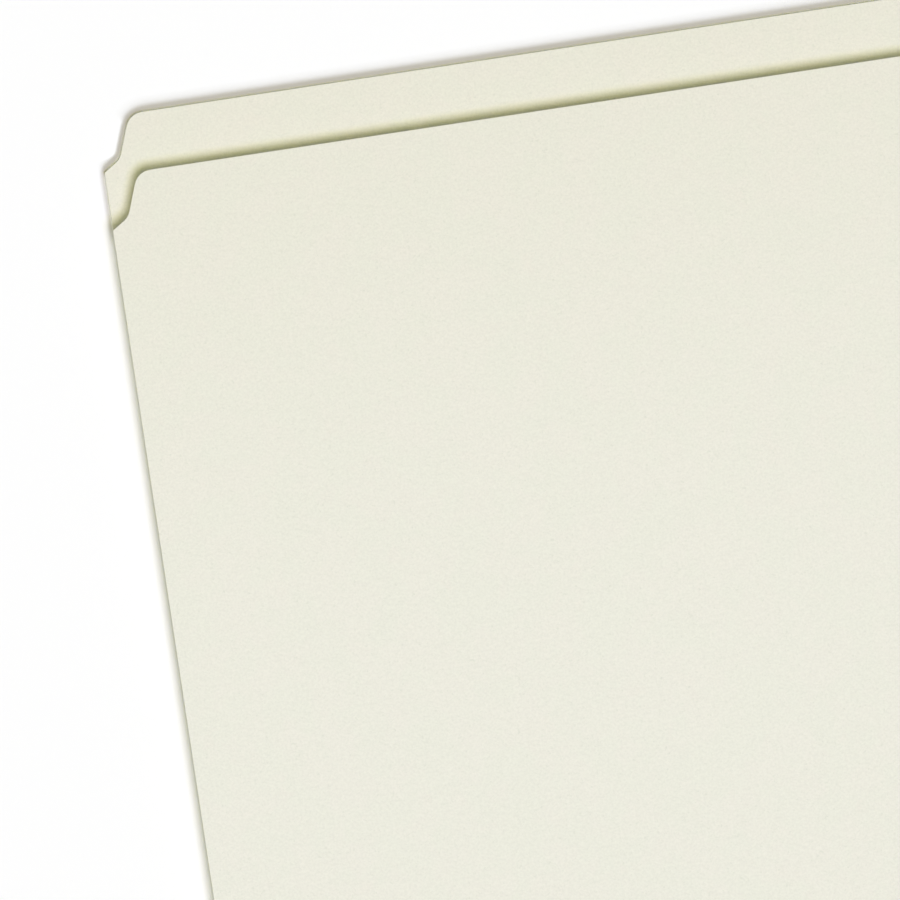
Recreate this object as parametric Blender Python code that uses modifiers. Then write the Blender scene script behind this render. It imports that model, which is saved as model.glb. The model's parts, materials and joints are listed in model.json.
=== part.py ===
"""A letter-size pressboard fastener folder, lying closed on its back cover.

Two stiff covers are joined at the bottom by a one-inch cloth gusset. Both covers have a straight-cut
tab across the whole top edge, with a notch at each corner, and the back cover stands taller. Letter
paper lies in the folder with its head to the left, so each cover carries a two-prong tin fastener
near its left edge. The fastener's base strip is bonded to the cover under a paper patch. A compressor
bar lies on it, with the prongs folded down over the bar and two sliding locks between them.

+X runs along the fold to the right, +Y from the fold up to the tab, and +Z up out of the table.
The origin is under the middle of the closed folder, on the table.
"""

import math

import bmesh
import bpy
from mathutils import Matrix, Vector

MM = 0.001

# Covers
COVER_WIDTH = 298.45 * MM
BACK_HEIGHT = 241.3 * MM
UNDERCUT = 12.7 * MM
BOARD_THICKNESS = 0.64 * MM
BOTTOM_CORNER_RADIUS = 1.2 * MM

# Corner notches of the straight-cut tab, from the photographed corner
TAB_INSET_TOP = 7.1 * MM
TAB_INSET_ROOT = 3.7 * MM
TAB_SIDE_HEIGHT = 9.4 * MM
SHOULDER_FALL = 2.4 * MM
TAB_CORNER_RADIUS = 3.9 * MM
SHOULDER_RADIUS = 3.5 * MM

# Cloth gusset
EXPANSION = 25.4 * MM
WING_REACH = 25.4 * MM
CLOTH_THICKNESS = 0.30 * MM
FOLD_GAP = 0.15 * MM
SCORE_OFFSET = 0.5 * MM
CREASE_RADIUS = 0.36 * MM
CREASE_CLEARANCE = 0.14 * MM
WEB_END_TRIM = 0.4 * MM

# Gap between pieces that are glued or rest on each other
GLUE_GAP = 0.05 * MM

# Prong fasteners
PRONG_SPACING = 69.85 * MM
FASTENER_SETBACK = 25.4 * MM
TIN_THICKNESS = 0.28 * MM
BASE_WIDTH = 8.0 * MM
BASE_BEND_RADIUS = 0.45 * MM
BASE_TAPER = 6.0 * MM
PRONG_WIDTH = 4.2 * MM
PRONG_LENGTH = 27.0 * MM
PRONG_TIP_RADIUS = 2.0 * MM

# Paper patch that bonds a fastener to its cover
PATCH_LENGTH = 108.0 * MM
PATCH_WIDTH = 22.0 * MM
PATCH_THICKNESS = 0.22 * MM
PATCH_CORNER_RADIUS = 3.0 * MM
PATCH_RAMP = 2.4 * MM
PATCH_OVERLAP = 0.6 * MM
SLIT_WIDTH = 5.0 * MM
SLIT_LENGTH = 1.1 * MM
SLIT_CORNER_RADIUS = 0.3 * MM

# Compressor bar
BAR_LENGTH = 88.9 * MM
BAR_WIDTH = 9.5 * MM
BAR_THICKNESS = 0.30 * MM
BAR_END_RADIUS = 3.6 * MM
BAR_BEND_RADIUS = 0.45 * MM
FOOT_LENGTH = 2.2 * MM
SLOT_WIDTH = 6.0 * MM
SLOT_LENGTH = 2.4 * MM
RAIL_THICKNESS = 0.30 * MM
RAIL_HEIGHT = 0.45 * MM
RAIL_SLOT_MARGIN = 1.8 * MM
RAIL_RAMP = 2.5 * MM

# Sliding locks
LOCK_LENGTH = 6.0 * MM
LOCK_WALL = 0.28 * MM
LOCK_CLEARANCE = 0.10 * MM
LOCK_BEND_RADIUS = 0.34 * MM
LOCK_FLANGE = 2.8 * MM
LOCK_REST_GAP = 0.7 * MM

# Gap between the two fasteners, which face each other in the closed folder
CLOSED_CLEARANCE = 0.30 * MM

CURVE_STEP = math.radians(15)
FINE_CURVE_STEP = math.radians(22.5)
WELD_DISTANCE = 1e-7

# Heights of the fastener's layers above the face of the cover that carries it
BASE_TOP = GLUE_GAP + TIN_THICKNESS
PATCH_TOP = BASE_TOP + GLUE_GAP + PATCH_THICKNESS
BAR_BOTTOM = PATCH_TOP + GLUE_GAP + LOCK_WALL + GLUE_GAP
BAR_TOP = BAR_BOTTOM + BAR_THICKNESS
PRONG_BOTTOM = BAR_TOP + GLUE_GAP
PRONG_AXIS = PRONG_BOTTOM + TIN_THICKNESS / 2
RAIL_TOP = BAR_TOP + RAIL_HEIGHT
LOCK_CEILING = max(PRONG_BOTTOM + TIN_THICKNESS, RAIL_TOP) + LOCK_CLEARANCE
LOCK_TOP = LOCK_CEILING + LOCK_WALL

# Levels and lines of the closed folder
BACK_BOARD_BOTTOM = CLOTH_THICKNESS + GLUE_GAP
BACK_INNER_FACE = BACK_BOARD_BOTTOM + BOARD_THICKNESS
COVER_GAP = 2 * LOCK_TOP + CLOSED_CLEARANCE
FRONT_INNER_FACE = BACK_INNER_FACE + COVER_GAP
FRONT_BOARD_TOP = FRONT_INNER_FACE + BOARD_THICKNESS
FRONT_HEIGHT = BACK_HEIGHT - UNDERCUT
WEB_LENGTH = EXPANSION / 2
WEB_ANGLE = math.asin((FRONT_BOARD_TOP - BACK_BOARD_BOTTOM) / (2 * WEB_LENGTH))
CREASE_REACH = SCORE_OFFSET + WEB_LENGTH * math.cos(WEB_ANGLE)
GUSSET_REACH = CREASE_REACH + CREASE_RADIUS
COVER_BOTTOM_Y = (GUSSET_REACH - BACK_HEIGHT) / 2
SCORE_Y = COVER_BOTTOM_Y - SCORE_OFFSET
CREASE_Y = COVER_BOTTOM_Y - CREASE_REACH
CREASE_Z = (FRONT_BOARD_TOP + BACK_BOARD_BOTTOM) / 2
FASTENER_X = FASTENER_SETBACK - COVER_WIDTH / 2
FASTENER_HEIGHT = FRONT_HEIGHT / 2
LOCK_REST = (LOCK_REST_GAP + LOCK_LENGTH) / 2

PRESSBOARD = ("pressboard", (0.80, 0.78, 0.67), 0.85, 0.0)
GUSSET_CLOTH = ("gusset_cloth", (0.52, 0.54, 0.44), 0.9, 0.0)
PATCH_PAPER = ("patch_paper", (0.74, 0.72, 0.60), 0.8, 0.0)
TINPLATE = ("tinplate", (0.72, 0.72, 0.70), 0.3, 1.0)

# Maps (width, height, depth) of a flat shape onto (x, z, y) and onto (y, z, x)
SIDE_VIEW = Matrix(((1, 0, 0, 0), (0, 0, -1, 0), (0, 1, 0, 0), (0, 0, 0, 1)))
END_VIEW = Matrix(((0, 0, 1, 0), (1, 0, 0, 0), (0, 1, 0, 0), (0, 0, 0, 1)))


# Scene helpers


def clear_scene():
    for obj in list(bpy.data.objects):
        bpy.data.objects.remove(obj, do_unlink=True)


def new_collection(name):
    collection = bpy.data.collections.new(name)
    bpy.context.scene.collection.children.link(collection)
    return collection


def material(finish):
    name, colour, roughness, metallic = finish
    found = bpy.data.materials.get(name)
    if found:
        return found
    made = bpy.data.materials.new(name)
    made.use_nodes = True
    shader = made.node_tree.nodes["Principled BSDF"]
    shader.inputs["Base Color"].default_value = (*colour, 1.0)
    shader.inputs["Roughness"].default_value = roughness
    shader.inputs["Metallic"].default_value = metallic
    return made


def pivot(name, location, parent=None, rotation=(0, 0, 0)):
    """An empty on a joint's axis, or at a sub-assembly's seat. The location is relative to the parent."""
    empty = bpy.data.objects.new(name, None)
    empty.empty_display_size = 10 * MM
    empty.location = location
    empty.rotation_euler = rotation
    empty.parent = parent
    PARTS.objects.link(empty)
    return empty


def piece(name, mesh, finish, parent, location=(0, 0, 0), rotation=(0, 0, 0)):
    """A named sub-part, placed relative to its parent."""
    obj = bpy.data.objects.new(name, mesh)
    obj.location = location
    obj.rotation_euler = rotation
    obj.parent = parent
    mesh.materials.append(material(finish))
    PARTS.objects.link(obj)
    return obj


def combine(obj, helper_mesh, operation):
    """Adds a Boolean of obj with a hidden helper that shares its place."""
    helper = bpy.data.objects.new(f"{obj.name}_{operation.lower()}", helper_mesh)
    helper.parent = obj.parent
    helper.location = obj.location
    helper.rotation_euler = obj.rotation_euler
    helper.hide_render = True
    helper.display_type = "WIRE"
    CUTTERS.objects.link(helper)
    modifier = obj.modifiers.new(operation.title(), "BOOLEAN")
    modifier.operation = operation
    modifier.solver = "EXACT"
    modifier.object = helper


def shade_round(mesh, angle=35):
    mesh.shade_smooth()
    mesh.set_sharp_from_angle(angle=math.radians(angle))


# Outlines


def corner_arc(before, corner, after, radius, step):
    """Points of the arc that rounds a corner, or the corner itself where the radius is zero."""
    if radius <= 0:
        return [corner]
    inward = (before - corner).normalized()
    outward = (after - corner).normalized()
    half_angle = inward.angle(outward) / 2
    tangent = radius / math.tan(half_angle)
    centre = corner + (inward + outward).normalized() * radius / math.sin(half_angle)
    start = corner + inward * tangent - centre
    end = corner + outward * tangent - centre
    turn = start.angle_signed(end)
    count = max(2, math.ceil(abs(turn) / step))
    points = []
    for index in range(count + 1):
        angle = -turn * index / count
        points.append(centre + Matrix.Rotation(angle, 2) @ start)
    return points


def rounded_outline(corners, step=CURVE_STEP):
    """A closed outline from (x, y, radius) corners."""
    places = [Vector(corner[:2]) for corner in corners]
    outline = []
    for index, corner in enumerate(corners):
        before = places[index - 1]
        after = places[(index + 1) % len(places)]
        outline += corner_arc(before, places[index], after, corner[2], step)
    return outline


def box_outline(width, height, radius=0.0, centre=(0, 0)):
    x, y = centre
    signs = ((-1, -1), (1, -1), (1, 1), (-1, 1))
    return rounded_outline([(x + sx * width / 2, y + sy * height / 2, radius) for sx, sy in signs])


def band_outline(path, thickness, radius):
    """The closed outline of a bent strip: its centreline turns each corner of the path on one radius."""
    places = [Vector(point) for point in path]
    centreline = [places[0]]
    for before, corner, after in zip(places, places[1:], places[2:]):
        centreline += corner_arc(before, corner, after, radius, FINE_CURVE_STEP)
    centreline.append(places[-1])
    left, right = [], []
    for index, point in enumerate(centreline):
        back = centreline[max(index - 1, 0)]
        ahead = centreline[min(index + 1, len(centreline) - 1)]
        along = (ahead - back).normalized()
        across = Vector((-along.y, along.x)) * thickness / 2
        left.append(point + across)
        right.append(point - across)
    return left + right[::-1]


# Solids


def plate_mesh(name, outlines, thickness, turn=None, lift=0.0):
    """A plate from closed outlines, the first its edge and the others its holes, about z = lift."""
    curve = bpy.data.curves.new(name, "CURVE")
    curve.dimensions = "2D"
    curve.fill_mode = "BOTH"
    curve.extrude = thickness / 2
    for outline in outlines:
        spline = curve.splines.new("POLY")
        spline.points.add(len(outline) - 1)
        for point, place in zip(spline.points, outline):
            point.co = (place[0], place[1], 0, 1)
        spline.use_cyclic_u = True
    holder = bpy.data.objects.new(name, curve)
    bpy.context.scene.collection.objects.link(holder)
    bpy.context.view_layer.update()
    evaluated = holder.evaluated_get(bpy.context.evaluated_depsgraph_get())
    mesh = bpy.data.meshes.new_from_object(evaluated)
    bpy.data.objects.remove(holder)
    bpy.data.curves.remove(curve)
    work = bmesh.new()
    work.from_mesh(mesh)
    bmesh.ops.remove_doubles(work, verts=work.verts, dist=WELD_DISTANCE)
    bmesh.ops.recalc_face_normals(work, faces=work.faces)
    work.to_mesh(mesh)
    work.free()
    mesh.transform(Matrix.Translation((0, 0, lift)))
    if turn:
        mesh.transform(turn)
    mesh.name = name
    return mesh


def strip_mesh(name, length, near, far, inner, outer):
    """A flat cloth strip along X, from y = near to far and z = inner to outer."""
    outline = [(-length / 2, near), (length / 2, near), (length / 2, far), (-length / 2, far)]
    return plate_mesh(name, [outline], abs(outer - inner), lift=(inner + outer) / 2)


def rod_mesh(name, radius, length, segments=12):
    """A round rod along X."""
    work = bmesh.new()
    bmesh.ops.create_cone(
        work,
        cap_ends=True,
        segments=segments,
        radius1=radius,
        radius2=radius,
        depth=length,
        matrix=Matrix.Rotation(math.pi / 2, 4, "Y"),
    )
    mesh = bpy.data.meshes.new(name)
    work.to_mesh(mesh)
    work.free()
    shade_round(mesh)
    return mesh


# Covers


def cover_outline(height):
    """A cover from its bottom edge at y = 0 to its tab, with a notch at each top corner."""
    half = COVER_WIDTH / 2
    tab_root = height - TAB_SIDE_HEIGHT
    right_side = [
        (half, 0, BOTTOM_CORNER_RADIUS),
        (half, tab_root - SHOULDER_FALL, 0),
        (half - TAB_INSET_ROOT, tab_root, SHOULDER_RADIUS),
        (half - TAB_INSET_TOP, height, TAB_CORNER_RADIUS),
    ]
    left_side = [(-x, y, radius) for x, y, radius in reversed(right_side)]
    return rounded_outline(right_side + left_side)


def add_cover(name, height, inner_side, parent, location):
    """A pressboard cover. The inner side is +1 where the inside of the folder lies above the board."""
    mesh = plate_mesh(name, [cover_outline(height)], BOARD_THICKNESS, lift=-inner_side * BOARD_THICKNESS / 2)
    return piece(name, mesh, PRESSBOARD, parent, location)


# Gusset


def add_wing(name, outer_side, parent, location):
    """The edge of the gusset cloth, bonded to the outside of a cover. Its origin is on the score line."""
    inner = outer_side * GLUE_GAP
    outer = outer_side * (GLUE_GAP + CLOTH_THICKNESS)
    far = SCORE_OFFSET + WING_REACH
    mesh = strip_mesh(name, COVER_WIDTH, FOLD_GAP, far, inner, outer)
    return piece(name, mesh, GUSSET_CLOTH, parent, location)


def add_web(name, outer_side, score_end, parent, location, rotation):
    """Half of the gusset between a score line and the centre crease, beside the line through both."""
    crease_trim = CREASE_RADIUS + CREASE_CLEARANCE
    inner = outer_side * GLUE_GAP
    outer = outer_side * (GLUE_GAP + CLOTH_THICKNESS)
    length = COVER_WIDTH - 2 * WEB_END_TRIM
    if score_end:
        near, far = -FOLD_GAP, crease_trim - WEB_LENGTH
    else:
        near, far = crease_trim, WEB_LENGTH - FOLD_GAP
    mesh = strip_mesh(name, length, min(near, far), max(near, far), inner, outer)
    return piece(name, mesh, GUSSET_CLOTH, parent, location, rotation)


# Fasteners


def base_meshes():
    """The tin base strip: its bent side profile, and the plan that narrows it to the prongs."""
    half = PRONG_SPACING / 2
    level = GLUE_GAP + TIN_THICKNESS / 2
    riser_top = PRONG_BOTTOM - GLUE_GAP
    path = [(-half, riser_top), (-half, level), (half, level), (half, riser_top)]
    profile = band_outline(path, TIN_THICKNESS, BASE_BEND_RADIUS)
    side = plate_mesh("base_side", [profile], BASE_WIDTH, SIDE_VIEW)
    end = half + TIN_THICKNESS
    shoulder = half - BASE_BEND_RADIUS - TIN_THICKNESS
    quarter = [
        (end, PRONG_WIDTH / 2),
        (shoulder, PRONG_WIDTH / 2),
        (shoulder - BASE_TAPER, BASE_WIDTH / 2 + TIN_THICKNESS),
    ]
    upper = quarter + [(-x, y) for x, y in reversed(quarter)]
    lower = [(-x, -y) for x, y in upper]
    plan = plate_mesh("base_plan", [upper + lower], 4 * riser_top)
    return side, plan


def patch_height(x, y):
    """Height of the patch's lower face: raised over the base strip, and glued down around it."""
    half_length = PRONG_SPACING / 2 + TIN_THICKNESS / 2 + PATCH_OVERLAP
    half_width = BASE_WIDTH / 2 + PATCH_OVERLAP
    outside = max(abs(x) - half_length, abs(y) - half_width, 0.0)
    ramp = min(outside / PATCH_RAMP, 1.0)
    ease = ramp * ramp * (3 - 2 * ramp)
    return GLUE_GAP + (1 - ease) * BASE_TOP


def graded(limit, edge, ramp, count):
    """Grid lines from -limit to limit, with extra ones across the ramp that starts at edge."""
    across = [edge + ramp * index / count for index in range(count + 1)]
    positive = [edge / 2] + across + [limit]
    return [-value for value in reversed(positive)] + [0.0] + positive


def patch_meshes():
    """The embossed patch as an open sheet for Solidify, and the plan with its slits for the prongs."""
    ramp_steps = 4
    margin = 2 * PATCH_THICKNESS
    columns = graded(
        PATCH_LENGTH / 2 + margin,
        PRONG_SPACING / 2 + TIN_THICKNESS / 2 + PATCH_OVERLAP,
        PATCH_RAMP,
        ramp_steps,
    )
    rows = graded(PATCH_WIDTH / 2 + margin, BASE_WIDTH / 2 + PATCH_OVERLAP, PATCH_RAMP, ramp_steps)
    work = bmesh.new()
    grid = [[work.verts.new((x, y, patch_height(x, y))) for x in columns] for y in rows]
    for row, above in zip(grid, grid[1:]):
        for index in range(len(columns) - 1):
            work.faces.new((row[index], row[index + 1], above[index + 1], above[index]))
    sheet = bpy.data.meshes.new("patch_sheet")
    work.to_mesh(sheet)
    work.free()
    shade_round(sheet)
    slits = [
        box_outline(SLIT_LENGTH, SLIT_WIDTH, SLIT_CORNER_RADIUS, (side * PRONG_SPACING / 2, 0))
        for side in (-1, 1)
    ]
    edge = box_outline(PATCH_LENGTH, PATCH_WIDTH, PATCH_CORNER_RADIUS)
    return sheet, plate_mesh("patch_plan", [edge] + slits, 6 * PATCH_TOP)


def bar_meshes():
    """The compressor bar: side profile with turned-down feet, guide rails, and the slotted plan."""
    level = BAR_BOTTOM + BAR_THICKNESS / 2
    foot = PATCH_TOP + GLUE_GAP
    end = (BAR_LENGTH - BAR_THICKNESS) / 2
    bend = end - FOOT_LENGTH
    path = [(-end, foot), (-bend, level), (bend, level), (end, foot)]
    profile = band_outline(path, BAR_THICKNESS, BAR_BEND_RADIUS)
    side = plate_mesh("bar_side", [profile], BAR_WIDTH + BAR_THICKNESS, SIDE_VIEW)
    rail_end = PRONG_SPACING / 2 - RAIL_SLOT_MARGIN
    rail_outline = rounded_outline(
        [
            (-rail_end, level, 0),
            (rail_end, level, 0),
            (rail_end - RAIL_RAMP, RAIL_TOP, RAIL_RAMP),
            (RAIL_RAMP - rail_end, RAIL_TOP, RAIL_RAMP),
        ]
    )
    rails = []
    for sign in (-1, 1):
        rail = plate_mesh("bar_rail", [rail_outline], RAIL_THICKNESS, SIDE_VIEW)
        rail.transform(Matrix.Translation((0, sign * (BAR_WIDTH - RAIL_THICKNESS) / 2, 0)))
        rails.append(rail)
    slots = [
        box_outline(SLOT_LENGTH, SLOT_WIDTH, SLOT_LENGTH / 3, (side_sign * PRONG_SPACING / 2, 0))
        for side_sign in (-1, 1)
    ]
    edge = box_outline(BAR_LENGTH, BAR_WIDTH, BAR_END_RADIUS)
    plan = plate_mesh("bar_plan", [edge] + slots, 6 * RAIL_TOP)
    return side, rails, plan


def prong_meshes():
    """A prong that points along +X from its bend: the plan with a round tip, and the side profile."""
    root = TIN_THICKNESS / 2
    width = PRONG_WIDTH / 2
    plan = rounded_outline(
        [
            (-root, -width, 0),
            (PRONG_LENGTH, -width, PRONG_TIP_RADIUS),
            (PRONG_LENGTH, width, PRONG_TIP_RADIUS),
            (-root, width, 0),
        ]
    )
    reach = PRONG_LENGTH + root
    side = rounded_outline(
        [
            (-root, -root, root * 0.9),
            (reach, -root, 0),
            (reach, root, 0),
            (-root, root, root * 0.9),
        ],
        FINE_CURVE_STEP,
    )
    return (
        plate_mesh("prong_plan", [plan], 4 * TIN_THICKNESS),
        plate_mesh("prong_side", [side], 2 * PRONG_WIDTH, SIDE_VIEW),
    )


def lock_mesh():
    """A tin clip bent round the compressor bar, open under its middle."""
    half = BAR_WIDTH / 2 + LOCK_CLEARANCE + LOCK_WALL / 2
    low = BAR_BOTTOM - GLUE_GAP - LOCK_WALL / 2
    high = LOCK_CEILING + LOCK_WALL / 2
    flange_end = half - LOCK_FLANGE
    path = [(-flange_end, low), (-half, low), (-half, high), (half, high), (half, low), (flange_end, low)]
    profile = band_outline(path, LOCK_WALL, LOCK_BEND_RADIUS)
    mesh = plate_mesh("lock", [profile], LOCK_LENGTH, END_VIEW)
    shade_round(mesh)
    return mesh


def add_fastener(side_name, seat):
    """A complete fastener. Its seat is on a cover's inner face, with +Z off it and +X to the tab."""
    base, base_plan = base_meshes()
    strip = piece(f"{side_name}_fastener_base", base, TINPLATE, seat)
    combine(strip, base_plan, "INTERSECT")

    sheet, patch_plan = patch_meshes()
    patch = piece(f"{side_name}_fastener_patch", sheet, PATCH_PAPER, seat)
    thickness = patch.modifiers.new("Thickness", "SOLIDIFY")
    thickness.thickness = PATCH_THICKNESS
    thickness.offset = 1
    combine(patch, patch_plan, "INTERSECT")

    bar, rails, bar_plan = bar_meshes()
    compressor = piece(f"{side_name}_compressor_bar", bar, TINPLATE, seat)
    for rail in rails:
        combine(compressor, rail, "UNION")
    combine(compressor, bar_plan, "INTERSECT")

    for end, sign in (("lower", -1), ("upper", 1)):
        bend = pivot(
            f"{side_name}_{end}_prong_bend",
            (sign * PRONG_SPACING / 2, 0, PRONG_AXIS),
            seat,
            (0, 0, math.pi if sign > 0 else 0),
        )
        plan, side = prong_meshes()
        prong = piece(f"{side_name}_{end}_prong", plan, TINPLATE, bend)
        combine(prong, side, "INTERSECT")
        piece(f"{side_name}_{end}_lock", lock_mesh(), TINPLATE, seat, (sign * LOCK_REST, 0, 0))


# Assembly


def build_folder():
    back_cover = pivot("back_cover", (0, COVER_BOTTOM_Y, 0))
    add_cover("back_board", BACK_HEIGHT, 1, back_cover, (0, 0, BACK_INNER_FACE))
    back_score = (0, -SCORE_OFFSET, BACK_BOARD_BOTTOM)
    add_wing("gusset_back_wing", -1, back_cover, back_score)
    add_web("gusset_back_web", -1, True, back_cover, back_score, (-WEB_ANGLE, 0, 0))

    crease = (0, CREASE_Y - COVER_BOTTOM_Y, CREASE_Z)
    rod = rod_mesh("gusset_crease", CREASE_RADIUS, COVER_WIDTH - 2 * WEB_END_TRIM)
    piece("gusset_crease", rod, GUSSET_CLOTH, back_cover, crease)
    cover_hinge = pivot("cover_hinge", crease, back_cover)
    add_web("gusset_front_web", 1, False, cover_hinge, (0, 0, 0), (WEB_ANGLE, 0, 0))

    front_cover_place = (0, COVER_BOTTOM_Y - CREASE_Y, FRONT_BOARD_TOP - CREASE_Z)
    front_cover = pivot("front_cover", front_cover_place, cover_hinge)
    add_wing("gusset_front_wing", 1, front_cover, (0, -SCORE_OFFSET, 0))
    add_cover("front_board", FRONT_HEIGHT, -1, front_cover, (0, 0, -BOARD_THICKNESS))

    back_place = (FASTENER_X, FASTENER_HEIGHT, BACK_INNER_FACE)
    face_up = (0, 0, math.pi / 2)
    add_fastener("back", pivot("back_fastener_seat", back_place, back_cover, face_up))
    front_place = (FASTENER_X, FASTENER_HEIGHT, -BOARD_THICKNESS)
    face_down = (math.pi, 0, math.pi / 2)
    add_fastener("front", pivot("front_fastener_seat", front_place, front_cover, face_down))


clear_scene()
PARTS = new_collection("fastener_folder")
CUTTERS = new_collection("cutters")
build_folder()
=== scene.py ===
"""Looks for the pressboard fastener folder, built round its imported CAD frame.

The covers, patches and tin pieces are the CAD solids with softened edges and materials of their own.
The cloth gusset is one woven strip, bonded along the bottom of each cover and folded in the middle.
"""

import json
import math

import bmesh
import bpy
from mathutils import Matrix, Vector

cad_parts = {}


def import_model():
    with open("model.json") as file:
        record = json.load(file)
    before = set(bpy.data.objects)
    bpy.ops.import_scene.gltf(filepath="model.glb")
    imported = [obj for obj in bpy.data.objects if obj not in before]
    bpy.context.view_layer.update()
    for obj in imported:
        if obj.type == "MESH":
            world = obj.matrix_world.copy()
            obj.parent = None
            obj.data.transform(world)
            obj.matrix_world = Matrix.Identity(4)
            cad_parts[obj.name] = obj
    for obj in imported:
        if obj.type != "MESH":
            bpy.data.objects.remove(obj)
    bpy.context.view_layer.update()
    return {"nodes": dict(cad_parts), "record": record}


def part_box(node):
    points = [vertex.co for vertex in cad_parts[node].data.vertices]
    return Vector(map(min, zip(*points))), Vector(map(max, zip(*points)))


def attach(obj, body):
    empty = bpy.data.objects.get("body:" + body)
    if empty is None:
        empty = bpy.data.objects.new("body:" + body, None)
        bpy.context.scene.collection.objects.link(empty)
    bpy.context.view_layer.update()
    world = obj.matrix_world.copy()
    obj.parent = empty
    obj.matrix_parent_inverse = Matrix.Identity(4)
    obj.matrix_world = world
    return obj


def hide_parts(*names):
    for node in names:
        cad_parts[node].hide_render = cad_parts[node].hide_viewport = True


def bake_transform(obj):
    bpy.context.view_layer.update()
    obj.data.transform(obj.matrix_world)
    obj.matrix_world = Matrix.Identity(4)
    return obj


MM = 0.001

# Where the photograph looks from: the tab's left corner, from straight above
VIEW_CENTRE = (-84.5 * MM, 45.2 * MM)
VIEW_DISTANCE = 3.776
VIEW_TURN = math.radians(-8.6)
LENS = 700.0
CLIP = (0.01, 50.0)

# Soft light in shares of the light on a level face, which add up to 1. The key is a warm and a cool
# lamp of the same share. The cool one hangs lower, so shadows end in yellow, as in the photo.
KEY_SHARE = 0.37
FILL_SHARE = 0.14
ROOM_SHARE = 0.12
KEY_FROM = Vector((0.433, -0.902))
KEY_SPREAD = math.radians(25)
WARM_TILT = math.radians(14.3)
WARM_TINT = (1.35, 1.24, 0.44)
COOL_TILT = math.radians(21.2)
COOL_TINT = (0.65, 0.718, 1.70)
FILL_FROM = Vector((-0.433, 0.902))
FILL_TILT = math.radians(40)
FILL_SPREAD = math.radians(40)
FILL_TINT = (1.0, 1.065, 0.80)

# What metal reflects of the room
REFLECTED_ABOVE = (1.0, 1.0, 1.0)
REFLECTED_HORIZON = (0.42, 0.43, 0.44)
HORIZON_TO_ABOVE = (0.1, 0.95)

# Edges softened from the CAD solids
BOARD_EDGE = 0.035 * MM
PATCH_EDGE = 0.04 * MM
TIN_EDGE = 0.05 * MM
EDGE_SEGMENTS = 2
SMOOTH_ANGLE = math.radians(35)
SAME_PLACE = 1e-7
SAME_PLANE = math.radians(0.5)
UPRIGHT = 0.5

# Cloth of the gusset
CLOTH_THICKNESS = 0.29 * MM
CLOTH_LENGTH = 298.2 * MM
CLOTH_STEP = 3.0 * MM
THREAD_PITCH = 0.42 * MM
FOLD_RADIUS = 0.30 * MM
FOLD_STEPS = 6
CLOTH_SHARP = math.radians(60)

# Floor: its colour to the camera, to the rest of the light, and with painted shade close to the tab and
# to the sides and painted light right at the edge
FLOOR_HALF = 6.0
FLOOR_DEPTH = 0.1 * MM
FLOOR_SEEN = (0.992, 0.992, 0.992)
FLOOR_UNSEEN = (0.75, 0.75, 0.75)
# Painted shade: the floor's colours close to the tab and close to the sides
PAINTED_SHADE_TAB = (0.51, 0.485, 0.425)
PAINTED_SHADE_SIDE = (0.985, 0.975, 1.0)
CONTACT_RANGE = (0.868, 0.998)
# Painted light that lifts the floor back towards white where it touches the folder's edge
PAINTED_LIGHT_RANGE = (0.72, 0.56)
PAINTED_LIGHT_LIFT = 0.92
CONTACT_REACH = 3.5 * MM
CONTACT_REACH_SLOPE = 1.7 * MM
CONTACT_SAMPLES = 32

# Where along the folder that painted shade changes, as the distance from its middle
CONTACT_FROM = (99 * MM, 104 * MM)
BESIDE_COVER = (149.1 * MM, 150.9 * MM)
BESIDE_SLOPE = (137 * MM, 141 * MM)
SLOPE_FROM = (116 * MM, 120 * MM)
SLOPE_TO = (125 * MM, 129 * MM)

# Colours, how far the board grows darker and yellower towards its tab, and the painted highlight that
# lightens its rounded rim
BOARD_COLOUR = (0.854, 0.844, 0.746)
YELLOWER_AT_TAB = (0.965, 0.955, 0.925)
TAB_TONE_RANGE = (-30 * MM, 125 * MM)
TAB_TONE_CURVE = 2.0
BOARD_EDGE_COLOUR = (0.52, 0.53, 0.40)
# Painted highlight: how much lighter the board's rounded rim is than its face
RIM_PAINTED_HIGHLIGHT = 1.07
CLOTH_COLOUR = (0.47, 0.50, 0.39)
PATCH_COLOUR = (0.76, 0.76, 0.64)
TIN_COLOUR = (0.74, 0.735, 0.71)

# Paper: shifts of its colour in the clouds and in the darkest fibres, the sizes of its features, the
# ranges of the noise over which they set in, and how far they show
GREENER = (-0.008, 0.001, -0.005)
CREAMIER = (0.005, -0.001, 0.003)
PINKER = (0.008, -0.008, -0.003)
DARKER = (-0.085, -0.070, -0.085)
CLOUD_SIZE = 9 * MM
CLOUD_RANGE = (0.38, 0.62)
PINK_CLOUD_SIZE = 5 * MM
PINK_CLOUD_TURN = 1.1
PINK_CLOUD_RANGE = (0.60, 0.78)
PINK_CLOUD_SHOWN = 0.6
GRAIN_SIZE = 0.55 * MM
GRAIN_RANGE = (0.3, 0.7)
GRAIN_TONES = (-0.040, 0.030)
SPECK_SIZE = 0.8 * MM
SPECK_RANGE = (0.69, 0.75)
SPECK_SHOWN = 0.7
FINE_SIZE = 0.35 * MM
PAPER_SPECULAR = 0.25
PAPER_ROUGHER = (0.08, -0.06)
BOARD_ROUGHNESS = 0.62
PATCH_ROUGHNESS = 0.72
PATCH_CONTRAST = 1.6

# Fibres of the paper, which lie three ways: turn, length and how rare they are
FIBRES = ((0.4, 1.7 * MM, 0.66), (1.45, 1.5 * MM, 0.67), (2.6, 1.5 * MM, 0.67))
FIBRE_WIDTH = 0.2 * MM
FIBRE_FADE = 0.05
FIBRE_SHOWN = 0.45
FIBRE_RAISED = 0.5

# The board's cut edge: its pressed layers, and paler spots along it
EDGE_ROUGHNESS = 0.85
EDGE_SPECULAR = 0.2
LAYER_SIZE = 1.6 * MM
LAYER_STRETCH = (1, 1, 14)
LAYER_RANGE = (0.35, 0.65)
LAYER_SHADES = (0.86, 1.14)
PALE_SIZE = 3.0 * MM
PALE_RANGE = (0.4, 0.7)
PALE_SHOWN = 0.35
PALE_SHADE = 1.25
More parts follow.
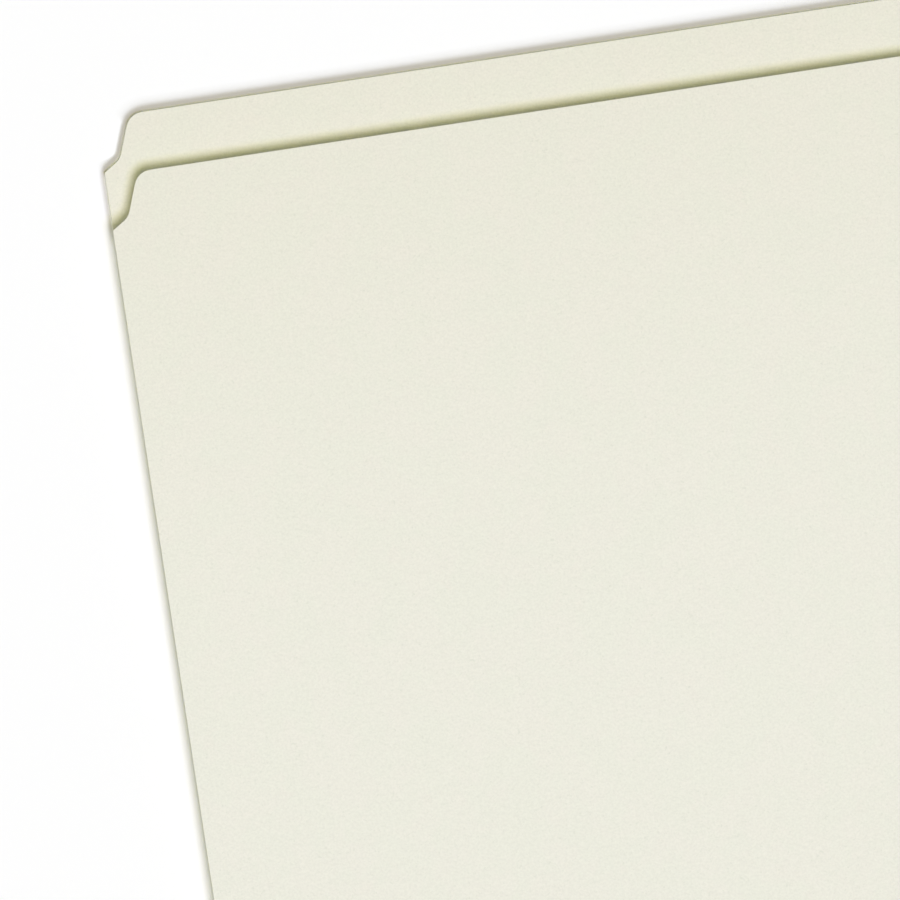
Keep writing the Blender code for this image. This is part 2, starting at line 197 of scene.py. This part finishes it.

# Woven cloth: its threads, with painted shade in their hollows and painted light on their crowns, and
# the slubs along them
CLOTH_ROUGHNESS = 0.82
CLOTH_SPECULAR = 0.2
CLOTH_SHEEN = 0.15
CLOTH_SHEEN_ROUGHNESS = 0.5
THREAD_RANGE = (0.1, 0.9)
THREAD_PAINTED_SHADING = (0.72, 1.06)
SLUB_SIZE = 9 * MM
SLUB_STRETCH = 14
SLUB_RANGE = (0.85, 1.2)
SLUB_SHOWN = 0.5
SLUB_TINT = (1.16, 1.15, 1.12)

# Tin: its rolled lines, and its stains, which are duller
TIN_ROUGHNESS = 0.32
TIN_ROUGHER = (-0.08, 0.06)
LINE_SIZE = 1.4 * MM
LINE_RANGE = (0.3, 0.7)
LINE_SHADES = (0.90, 1.04)
LINE_ROUGH_RANGE = (0.25, 0.75)
STAIN_SIZE = 6 * MM
STAIN_RANGE = (0.5, 0.75)
STAIN_SHOWN = 0.4
STAIN_TINT = (0.88, 0.88, 0.86)
STAIN_DULL_RANGE = (0.45, 0.75)
STAIN_DULL = 0.10

# Depths of the materials' relief
BOARD_RELIEF = 0.012 * MM
RIM_RELIEF = 0.006 * MM
PATCH_RELIEF = 0.016 * MM
LAYER_RELIEF = 0.04 * MM
WEAVE_RELIEF = 0.06 * MM
TIN_RELIEF = 0.004 * MM

# Stretch of the tin's rolled lines, for strips that lie along Y and along X
ROLLED_ALONG = (8.0, 0.35, 8.0)
ROLLED_ACROSS = (0.35, 8.0, 8.0)


# Small helpers for node trees


def new_material(name, roughness, metallic=0.0, specular=0.5):
    made = bpy.data.materials.new(name)
    made.use_nodes = True
    shader = made.node_tree.nodes["Principled BSDF"]
    shader.inputs["Roughness"].default_value = roughness
    shader.inputs["Metallic"].default_value = metallic
    shader.inputs["Specular IOR Level"].default_value = specular
    return made, made.node_tree, shader


def add_node(tree, kind, **settings):
    node = tree.nodes.new(kind)
    for key, value in settings.items():
        setattr(node, key, value)
    return node


def plug(tree, target, value):
    """Links a socket to an input, or writes a plain value into it."""
    if isinstance(value, bpy.types.NodeSocket):
        tree.links.new(value, target)
    else:
        target.default_value = value


def math_node(tree, operation, first, second=0.5, third=0.5):
    node = add_node(tree, "ShaderNodeMath", operation=operation)
    for index, value in enumerate((first, second, third)):
        plug(tree, node.inputs[index], value)
    return node.outputs[0]


def remap(tree, value, hollow_painted_shade, crown_painted_light, to_low, to_high, smooth=True):
    node = add_node(tree, "ShaderNodeMapRange")
    node.interpolation_type = "SMOOTHSTEP" if smooth else "LINEAR"
    for index, item in enumerate((value, hollow_painted_shade, crown_painted_light, to_low, to_high)):
        plug(tree, node.inputs[index], item)
    return node.outputs["Result"]


def mask(tree, value, span, most=1.0):
    """Rises from 0 to most as the value crosses the span."""
    return remap(tree, value, *span, 0.0, most)


def product(tree, *values):
    result = values[0]
    for value in values[1:]:
        result = math_node(tree, "MULTIPLY", result, value)
    return result


def mix_colour(tree, factor, first, second, blend="MIX"):
    node = add_node(tree, "ShaderNodeMix", data_type="RGBA", blend_type=blend)
    plug(tree, node.inputs["Factor"], factor)
    plug(tree, node.inputs["A"], first if not isinstance(first, tuple) else (*first, 1.0))
    plug(tree, node.inputs["B"], second if not isinstance(second, tuple) else (*second, 1.0))
    return node.outputs["Result"]


def coordinates(tree, output="Object", scale=(1, 1, 1), turn=0.0):
    """Coordinates turned in the plane of the piece, and then stretched."""
    source = add_node(tree, "ShaderNodeTexCoord").outputs[output]
    turned = add_node(tree, "ShaderNodeVectorRotate", rotation_type="Z_AXIS")
    plug(tree, turned.inputs["Vector"], source)
    turned.inputs["Angle"].default_value = turn
    stretched = add_node(tree, "ShaderNodeVectorMath", operation="MULTIPLY")
    plug(tree, stretched.inputs[0], turned.outputs[0])
    stretched.inputs[1].default_value = scale
    return stretched.outputs[0]


def noise(tree, vector, size, detail=2.0, roughness=0.5, distortion=0.0):
    """Noise whose features are about size across, in metres."""
    node = add_node(tree, "ShaderNodeTexNoise")
    plug(tree, node.inputs["Vector"], vector)
    node.inputs["Scale"].default_value = 1.0 / size
    node.inputs["Detail"].default_value = detail
    node.inputs["Roughness"].default_value = roughness
    node.inputs["Distortion"].default_value = distortion
    return node.outputs["Fac"]


def bump(tree, shader, height, distance):
    node = add_node(tree, "ShaderNodeBump")
    node.inputs["Strength"].default_value = 1.0
    node.inputs["Distance"].default_value = distance
    plug(tree, node.inputs["Height"], height)
    plug(tree, shader.inputs["Normal"], node.outputs["Normal"])


def split(tree, output):
    """The X, Y and Z of the coordinates, as sockets."""
    node = add_node(tree, "ShaderNodeSeparateXYZ")
    plug(tree, node.inputs[0], add_node(tree, "ShaderNodeTexCoord").outputs[output])
    return node.outputs


def scaled(colour, *factors):
    """The colour times one factor, or times a factor for each channel."""
    if len(factors) == 1:
        factors = factors * 3
    return tuple(c * f for c, f in zip(colour, factors))


def shifted(colour, shifts, contrast):
    return scaled(colour, *(1 + shift * contrast for shift in shifts))


# Materials


def fibre_flecks(tree, turn, length, rare):
    """Thin, sparse fibres lying one way, as a mask from 0 to 1."""
    vector = coordinates(tree, scale=(1.0, length / FIBRE_WIDTH, 1.0), turn=turn)
    field = noise(tree, vector, length, detail=1.0, distortion=0.6)
    return mask(tree, field, (rare, rare + FIBRE_FADE))


def toned_towards_tab(tree, base):
    """Paper that grows a little darker and yellower towards the tab."""
    share = remap(tree, split(tree, "Object")["Y"], *TAB_TONE_RANGE, 0.0, 1.0, smooth=False)
    curved = math_node(tree, "POWER", share, TAB_TONE_CURVE)
    return mix_colour(tree, curved, base, YELLOWER_AT_TAB, "MULTIPLY")


def paper_material(name, colour, roughness, contrast, bump_depth, tab_toned=False):
    """Dense board or paper: faint clouds of tint, short fibres and a calendered face."""
    made, tree, shader = new_material(name, roughness, specular=PAPER_SPECULAR)
    plain = coordinates(tree)
    clouds = noise(tree, plain, CLOUD_SIZE, detail=4.0, roughness=0.65)
    warm = noise(tree, coordinates(tree, turn=PINK_CLOUD_TURN), PINK_CLOUD_SIZE, detail=2.0)
    green = shifted(colour, GREENER, contrast)
    cream = shifted(colour, CREAMIER, contrast)
    base = mix_colour(tree, mask(tree, clouds, CLOUD_RANGE), green, cream)
    pink = shifted(colour, PINKER, contrast)
    base = mix_colour(tree, mask(tree, warm, PINK_CLOUD_RANGE, PINK_CLOUD_SHOWN), base, pink)
    grain = noise(tree, plain, GRAIN_SIZE, detail=2.0, roughness=0.6)
    darkest, lightest = (1 + shift * contrast for shift in GRAIN_TONES)
    tone = remap(tree, grain, *GRAIN_RANGE, darkest, lightest, smooth=False)
    specks = mask(tree, noise(tree, plain, SPECK_SIZE, detail=1.0), SPECK_RANGE, SPECK_SHOWN)
    fibres = fibre_flecks(tree, *FIBRES[0])
    for lie in FIBRES[1:]:
        fibres = math_node(tree, "MAXIMUM", fibres, fibre_flecks(tree, *lie))
    dots = math_node(tree, "MAXIMUM", specks, math_node(tree, "MULTIPLY", fibres, FIBRE_SHOWN))
    base = mix_colour(tree, dots, base, shifted(colour, DARKER, contrast))
    toned = add_node(tree, "ShaderNodeVectorMath", operation="SCALE")
    plug(tree, toned.inputs[0], base)
    plug(tree, toned.inputs["Scale"], tone)
    base = toned_towards_tab(tree, toned.outputs[0]) if tab_toned else toned.outputs[0]
    plug(tree, shader.inputs["Base Color"], base)
    rough = remap(tree, grain, *GRAIN_RANGE, *(roughness + shift for shift in PAPER_ROUGHER))
    plug(tree, shader.inputs["Roughness"], rough)
    fine = noise(tree, plain, FINE_SIZE, detail=2.0, roughness=0.7)
    uneven = math_node(tree, "ADD", grain, fine)
    height = math_node(tree, "MULTIPLY_ADD", fibres, FIBRE_RAISED, uneven)
    bump(tree, shader, height, bump_depth)
    return made


def cut_edge_material(name, colour):
    """The cut edge of the board: pressed layers, and darker than the face."""
    made, tree, shader = new_material(name, EDGE_ROUGHNESS, specular=EDGE_SPECULAR)
    flat = coordinates(tree, scale=LAYER_STRETCH)
    layers = noise(tree, flat, LAYER_SIZE, detail=2.0, roughness=0.6)
    spots = noise(tree, coordinates(tree), PALE_SIZE, detail=3.0, roughness=0.6)
    dark, light = (scaled(colour, shade) for shade in LAYER_SHADES)
    base = mix_colour(tree, mask(tree, layers, LAYER_RANGE), dark, light)
    pale = mask(tree, spots, PALE_RANGE, PALE_SHOWN)
    base = mix_colour(tree, pale, base, scaled(colour, PALE_SHADE))
    plug(tree, shader.inputs["Base Color"], base)
    bump(tree, shader, layers, LAYER_RELIEF)
    return made


def woven_material(name, colour):
    """A plain weave of round threads, on UVs that are in metres along and across the cloth."""
    made, tree, shader = new_material(name, CLOTH_ROUGHNESS, specular=CLOTH_SPECULAR)
    place = split(tree, "UV")
    waves, cells = [], []
    for axis in ("X", "Y"):
        turns = math_node(tree, "DIVIDE", place[axis], THREAD_PITCH)
        angle = math_node(tree, "MULTIPLY", turns, math.pi)
        waves.append(math_node(tree, "ABSOLUTE", math_node(tree, "SINE", angle)))
        cells.append(math_node(tree, "FLOOR", turns))
    over = math_node(tree, "PINGPONG", math_node(tree, "ADD", cells[0], cells[1]), 1.0)
    warp = math_node(tree, "MULTIPLY", waves[0], over)
    weft = math_node(tree, "MULTIPLY", waves[1], math_node(tree, "SUBTRACT", 1.0, over))
    height = math_node(tree, "ADD", warp, weft)
    slubs = [
        noise(tree, coordinates(tree, "UV", scale=stretch), SLUB_SIZE, detail=2.0)
        for stretch in ((1, SLUB_STRETCH, 1), (SLUB_STRETCH, 1, 1))
    ]
    uneven = math_node(tree, "ADD", *slubs)
    # Painted shade and light: the weave's hollows are darker and the threads' crowns lighter copies of
    # the cloth's colour
    hollow_painted_shade, crown_painted_light = (scaled(colour, shade) for shade in THREAD_PAINTED_SHADING)
    base = mix_colour(tree, mask(tree, height, THREAD_RANGE), hollow_painted_shade, crown_painted_light)
    thick = mask(tree, uneven, SLUB_RANGE, SLUB_SHOWN)
    base = mix_colour(tree, thick, base, scaled(colour, *SLUB_TINT))
    plug(tree, shader.inputs["Base Color"], base)
    shader.inputs["Sheen Weight"].default_value = CLOTH_SHEEN
    shader.inputs["Sheen Roughness"].default_value = CLOTH_SHEEN_ROUGHNESS
    bump(tree, shader, height, WEAVE_RELIEF)
    return made


def tin_material(name, colour, rolled):
    """Tinned steel strip, rolled along its length, with fine lines and faint stains."""
    made, tree, shader = new_material(name, TIN_ROUGHNESS, metallic=1.0)
    lines = noise(tree, coordinates(tree, scale=rolled), LINE_SIZE, detail=4.0, roughness=0.7)
    stains = noise(tree, coordinates(tree), STAIN_SIZE, detail=3.0, roughness=0.6)
    dark, light = (scaled(colour, shade) for shade in LINE_SHADES)
    base = mix_colour(tree, mask(tree, lines, LINE_RANGE), dark, light)
    stained = mask(tree, stains, STAIN_RANGE, STAIN_SHOWN)
    base = mix_colour(tree, stained, base, scaled(colour, *STAIN_TINT))
    plug(tree, shader.inputs["Base Color"], base)
    ends = (TIN_ROUGHNESS + shift for shift in TIN_ROUGHER)
    rough = remap(tree, lines, *LINE_ROUGH_RANGE, *ends)
    dull = mask(tree, stains, STAIN_DULL_RANGE, STAIN_DULL)
    plug(tree, shader.inputs["Roughness"], math_node(tree, "ADD", rough, dull))
    bump(tree, shader, lines, TIN_RELIEF)
    return made


# Pieces


def body_of_node(record, node):
    for body, nodes in record["behaviour"]["bodies"].items():
        if node in nodes:
            return body
    raise KeyError(node)


def softened(frame, node, name, materials, width, edge_faces=False):
    """The CAD solid with rounded edges. With edge_faces, its upright faces take the second material
    and its rounded edges the third."""
    work = bmesh.new()
    work.from_mesh(frame["nodes"][node].data)
    bmesh.ops.remove_doubles(work, verts=work.verts, dist=SAME_PLACE)
    bmesh.ops.dissolve_limit(work, angle_limit=SAME_PLANE, verts=work.verts, edges=work.edges)
    for face in work.faces:
        face.material_index = 1 if edge_faces and abs(face.normal.z) < UPRIGHT else 0
        face.smooth = True
    mesh = bpy.data.meshes.new(name)
    work.to_mesh(mesh)
    work.free()
    if "custom_normal" in mesh.attributes:
        mesh.attributes.remove(mesh.attributes["custom_normal"])
    obj = bpy.data.objects.new(name, mesh)
    bpy.context.scene.collection.objects.link(obj)
    mesh.materials.clear()
    for item in materials:
        mesh.materials.append(item)
    rounding = obj.modifiers.new("Edges", "BEVEL")
    rounding.width = width
    rounding.segments = EDGE_SEGMENTS
    rounding.limit_method = "ANGLE"
    rounding.angle_limit = SMOOTH_ANGLE
    rounding.material = 2 if edge_faces else -1
    weighted = obj.modifiers.new("Shading", "WEIGHTED_NORMAL")
    weighted.keep_sharp = True
    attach(obj, body_of_node(frame["record"], node))
    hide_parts(node)
    return obj


# Gusset, as one strip of cloth


def arc_points(centre, radius, start, end, steps):
    return [
        Vector((centre[0] + radius * math.cos(a), centre[1] + radius * math.sin(a)))
        for a in (start + (end - start) * i / steps for i in range(steps + 1))
    ]


def turn_corner(before, corner, after, radius, steps):
    """Points that round a corner of a path, as (y, z)."""
    inward = (before - corner).normalized()
    outward = (after - corner).normalized()
    half = inward.angle(outward) / 2
    centre = corner + (inward + outward).normalized() * radius / math.sin(half)
    start = corner + inward * radius / math.tan(half) - centre
    sweep = start.angle_signed(corner + outward * radius / math.tan(half) - centre)
    return [centre + Matrix.Rotation(-sweep * i / steps, 2) @ start for i in range(steps + 1)]


def cloth_path():
    """The middle of the gusset cloth across the folder, from one wing's edge to the other, as (y, z)."""
    back_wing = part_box("gusset_back_wing")
    front_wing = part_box("gusset_front_wing")
    back_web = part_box("gusset_back_web")
    front_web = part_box("gusset_front_web")
    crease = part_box("gusset_crease")
    hollow_painted_shade = (back_wing[0][2] + back_wing[1][2]) / 2
    crown_painted_light = (front_wing[0][2] + front_wing[1][2]) / 2
    score = back_web[1][1]
    middle = (crease[0][2] + crease[1][2]) / 2
    turn_y = crease[0][1] + CLOTH_THICKNESS / 2
    near = Vector((back_wing[1][1], hollow_painted_shade))
    back_score = Vector((score, hollow_painted_shade))
    back_turn = Vector((back_web[0][1], back_web[1][2] - CLOTH_THICKNESS / 2))
    front_turn = Vector((front_web[0][1], front_web[0][2] + CLOTH_THICKNESS / 2))
    front_score = Vector((score, crown_painted_light))
    far = Vector((front_wing[1][1], crown_painted_light))
    back_corner = turn_corner(near, back_score, back_turn, FOLD_RADIUS, FOLD_STEPS)
    front_corner = turn_corner(front_turn, front_score, far, FOLD_RADIUS, FOLD_STEPS)
    path = subdivided(near, back_corner[0])[:-1] + back_corner
    path += subdivided(back_corner[-1], back_turn)[1:]
    radius = (front_turn.y - back_turn.y) / 2
    centre = (back_turn.x, middle)
    bend = arc_points(centre, radius, 1.5 * math.pi, 0.5 * math.pi, 2 * FOLD_STEPS)
    reach = centre[0] - radius - turn_y
    path += [Vector((p.x - reach * max(0.0, (centre[0] - p.x) / radius), p.y)) for p in bend[1:]]
    path += subdivided(path[-1], front_corner[0])[1:-1] + front_corner
    path += subdivided(front_corner[-1], far)[1:]
    return path


def subdivided(start, end):
    count = max(1, round((end - start).length / CLOTH_STEP))
    return [start.lerp(end, i / count) for i in range(count + 1)]


def cloth_mesh(name, path):
    """A closed strip of even thickness along the path, with UVs in metres."""
    half = CLOTH_THICKNESS / 2
    distances = [0.0]
    for before, point in zip(path, path[1:]):
        distances.append(distances[-1] + (point - before).length)
    sides = []
    for index, point in enumerate(path):
        back = path[max(index - 1, 0)]
        ahead = path[min(index + 1, len(path) - 1)]
        along = (ahead - back).normalized()
        across = Vector((-along.y, along.x)) * half
        sides.append((point + across, point - across))
    columns = max(2, round(CLOTH_LENGTH / CLOTH_STEP))
    work = bmesh.new()
    uv = work.loops.layers.uv.new("UVMap")
    rings = []
    for column in range(columns + 1):
        x = CLOTH_LENGTH * (column / columns - 0.5)
        ring = [work.verts.new((x, side[0].x, side[0].y)) for side in sides]
        ring += [work.verts.new((x, side[1].x, side[1].y)) for side in reversed(sides)]
        rings.append((x, ring))
    places = distances + distances[::-1]
    count = len(places)
    for (x0, ring0), (x1, ring1) in zip(rings, rings[1:]):
        for index in range(count):
            after = (index + 1) % count
            face = work.faces.new((ring0[index], ring0[after], ring1[after], ring1[index]))
            for loop, place in zip(face.loops, ((x0, index), (x0, after), (x1, after), (x1, index))):
                loop[uv].uv = (place[0], places[place[1]])
    for x, ring in (rings[0], rings[-1]):
        for index in range(len(path) - 1):
            other = count - 1 - index
            face = work.faces.new((ring[index], ring[index + 1], ring[other - 1], ring[other]))
            for loop in face.loops:
                loop[uv].uv = (x, places[index])
    bmesh.ops.recalc_face_normals(work, faces=work.faces)
    mesh = bpy.data.meshes.new(name)
    work.to_mesh(mesh)
    work.free()
    mesh.shade_smooth()
    mesh.set_sharp_from_angle(angle=CLOTH_SHARP)
    return mesh, distances[-1]


def add_gusset(material):
    """One strip of cloth stands for the wings, webs and crease."""
    mesh, length = cloth_mesh("gusset", cloth_path())
    mesh.materials.append(material)
    gusset = bpy.data.objects.new("gusset", mesh)
    bpy.context.scene.collection.objects.link(gusset)
    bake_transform(gusset)
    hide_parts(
        "gusset_back_wing",
        "gusset_back_web",
        "gusset_crease",
        "gusset_front_web",
        "gusset_front_wing",
    )


# Covers and fasteners


def add_covers(frame, skins):
    for side in ("back", "front"):
        # The skins are the face, the cut edge, and the rounded rim with its painted highlight
        board = softened(frame, f"{side}_board", f"{side}_cover_board", skins, BOARD_EDGE, True)


def add_fasteners(frame, paper, tins):
    across = ("lower_lock", "upper_lock")
    for side in ("back", "front"):
        patch = softened(frame, f"{side}_fastener_patch", f"{side}_patch_sheet", [paper], PATCH_EDGE)
        for part in ("fastener_base", "compressor_bar", "lower_prong", "upper_prong", *across):
            tin = tins["across"] if part in across else tins["along"]
            piece = softened(frame, f"{side}_{part}", f"{side}_{part}_tin", [tin], TIN_EDGE)


# Stage


def painted_contact_shade(tree):
    """The floor's colour to the camera: white, with painted shade that makes it greyer close to the
    folder, mostly beyond its tab, and painted light that lifts it back to white where it touches the
    edge.
    """
    place = split(tree, "Object")
    across = math_node(tree, "ABSOLUTE", place["X"])
    sloped = product(
        tree,
        mask(tree, across, BESIDE_SLOPE),
        mask(tree, place["Y"], SLOPE_FROM),
        remap(tree, place["Y"], *SLOPE_TO, 1.0, 0.0),
    )
    near = add_node(tree, "ShaderNodeAmbientOcclusion", samples=CONTACT_SAMPLES)
    reach = remap(tree, sloped, 0.0, 1.0, CONTACT_REACH, CONTACT_REACH_SLOPE)
    plug(tree, near.inputs["Distance"], reach)
    away = mask(tree, near.outputs["AO"], CONTACT_RANGE)
    # Painted light: where the floor touches the folder's edge, its colour is lifted back towards white
    # against the lamps' shadow there
    painted_light_at_edge = mask(tree, near.outputs["AO"], PAINTED_LIGHT_RANGE, PAINTED_LIGHT_LIFT)
    beyond_tab = product(
        tree,
        mask(tree, place["Y"], CONTACT_FROM),
        remap(tree, across, *BESIDE_COVER, 1.0, 0.0),
    )
    # Painted shade: a greyer floor colour near the folder, darkest beyond the tab
    painted_shade = mix_colour(tree, beyond_tab, PAINTED_SHADE_SIDE, PAINTED_SHADE_TAB)
    return mix_colour(tree, math_node(tree, "MAXIMUM", away, painted_light_at_edge), painted_shade, FLOOR_SEEN)


def floor_material():
    """White to the camera, pale to the rest of the light, and with painted shade close to what stands on
    it.
    """
    made = bpy.data.materials.new("floor")
    made.use_nodes = True
    tree = made.node_tree
    tree.nodes.clear()
    path = add_node(tree, "ShaderNodeLightPath").outputs
    seen = math_node(tree, "MAXIMUM", path["Is Camera Ray"], path["Is Glossy Ray"])
    seen = math_node(tree, "MAXIMUM", seen, path["Is Transmission Ray"])
    colour = mix_colour(tree, seen, FLOOR_UNSEEN, painted_contact_shade(tree))
    diffuse = add_node(tree, "ShaderNodeBsdfDiffuse")
    plug(tree, diffuse.inputs["Color"], colour)
    clear = add_node(tree, "ShaderNodeBsdfTransparent")
    facing = add_node(tree, "ShaderNodeNewGeometry").outputs["Backfacing"]
    mixed = add_node(tree, "ShaderNodeMixShader")
    plug(tree, mixed.inputs[0], facing)
    plug(tree, mixed.inputs[1], diffuse.outputs[0])
    plug(tree, mixed.inputs[2], clear.outputs[0])
    output = add_node(tree, "ShaderNodeOutputMaterial")
    plug(tree, output.inputs["Surface"], mixed.outputs[0])
    return made


def add_floor():
    work = bmesh.new()
    bmesh.ops.create_grid(work, x_segments=1, y_segments=1, size=FLOOR_HALF)
    mesh = bpy.data.meshes.new("floor")
    work.to_mesh(mesh)
    work.free()
    mesh.materials.append(floor_material())
    floor = bpy.data.objects.new("floor", mesh)
    floor.location = (0, 0, -FLOOR_DEPTH)
    bpy.context.scene.collection.objects.link(floor)


def add_sun(name, share, tint, come_from, tilt, spread):
    """A wide soft lamp that gives its share of the light on a level face. Metal doesn't reflect it."""
    light = bpy.data.lights.new(name, "SUN")
    light.energy = share * math.pi / math.cos(tilt)
    light.color = tint
    light.angle = spread
    lamp = bpy.data.objects.new(name, light)
    side = come_from.normalized() * math.sin(tilt)
    direction = Vector((side.x, side.y, math.cos(tilt)))
    lamp.rotation_euler = direction.to_track_quat("Z", "Y").to_euler()
    lamp.location = direction
    lamp.visible_glossy = False
    bpy.context.scene.collection.objects.link(lamp)


def add_room():
    """White to the camera. Metal sees it fade to grey towards the horizon."""
    world = bpy.data.worlds.new("room")
    bpy.context.scene.world = world
    world.use_nodes = True
    tree = world.node_tree
    background = tree.nodes["Background"]
    path = add_node(tree, "ShaderNodeLightPath").outputs
    height = mask(tree, split(tree, "Generated")["Z"], HORIZON_TO_ABOVE)
    reflected = mix_colour(tree, height, REFLECTED_HORIZON, REFLECTED_ABOVE)
    room = scaled(FILL_TINT, ROOM_SHARE)
    colour = mix_colour(tree, path["Is Glossy Ray"], room, reflected)
    seen = math_node(tree, "MAXIMUM", path["Is Camera Ray"], path["Is Transmission Ray"])
    plug(tree, background.inputs["Color"], mix_colour(tree, seen, colour, (1.0, 1.0, 1.0)))
    background.inputs["Strength"].default_value = 1.0


def add_camera():
    data = bpy.data.cameras.new("camera")
    data.type = "PERSP"
    data.lens = LENS
    data.clip_start, data.clip_end = CLIP
    camera = bpy.data.objects.new("camera", data)
    camera.location = (*VIEW_CENTRE, VIEW_DISTANCE)
    camera.rotation_euler = (0, 0, VIEW_TURN)
    bpy.context.scene.collection.objects.link(camera)
    bpy.context.scene.camera = camera


def main():
    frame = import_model()
    # Painted highlight: the board's rounded rim is a lighter copy of the board's colour
    rim_highlight_colour = scaled(BOARD_COLOUR, RIM_PAINTED_HIGHLIGHT)
    board = paper_material("pressboard", BOARD_COLOUR, BOARD_ROUGHNESS, 1.0, BOARD_RELIEF, tab_toned=True)
    edge = cut_edge_material("pressboard_edge", BOARD_EDGE_COLOUR)
    rim_highlight = paper_material("pressboard_rim_highlight", rim_highlight_colour, BOARD_ROUGHNESS, 1.0, RIM_RELIEF, tab_toned=True)
    paper = paper_material("patch_paper", PATCH_COLOUR, PATCH_ROUGHNESS, PATCH_CONTRAST, PATCH_RELIEF)
    tins = {
        "along": tin_material("tin_along", TIN_COLOUR, ROLLED_ALONG),
        "across": tin_material("tin_across", TIN_COLOUR, ROLLED_ACROSS),
    }
    add_covers(frame, [board, edge, rim_highlight])
    add_gusset(woven_material("gusset_cloth", CLOTH_COLOUR))
    add_fasteners(frame, paper, tins)
    add_floor()
    add_sun("key_warm", KEY_SHARE, WARM_TINT, KEY_FROM, WARM_TILT, KEY_SPREAD)
    add_sun("key_cool", KEY_SHARE, COOL_TINT, KEY_FROM, COOL_TILT, KEY_SPREAD)
    add_sun("fill", FILL_SHARE, FILL_TINT, FILL_FROM, FILL_TILT, FILL_SPREAD)
    add_room()
    add_camera()
    bpy.context.scene.view_settings.view_transform = "Standard"


main()
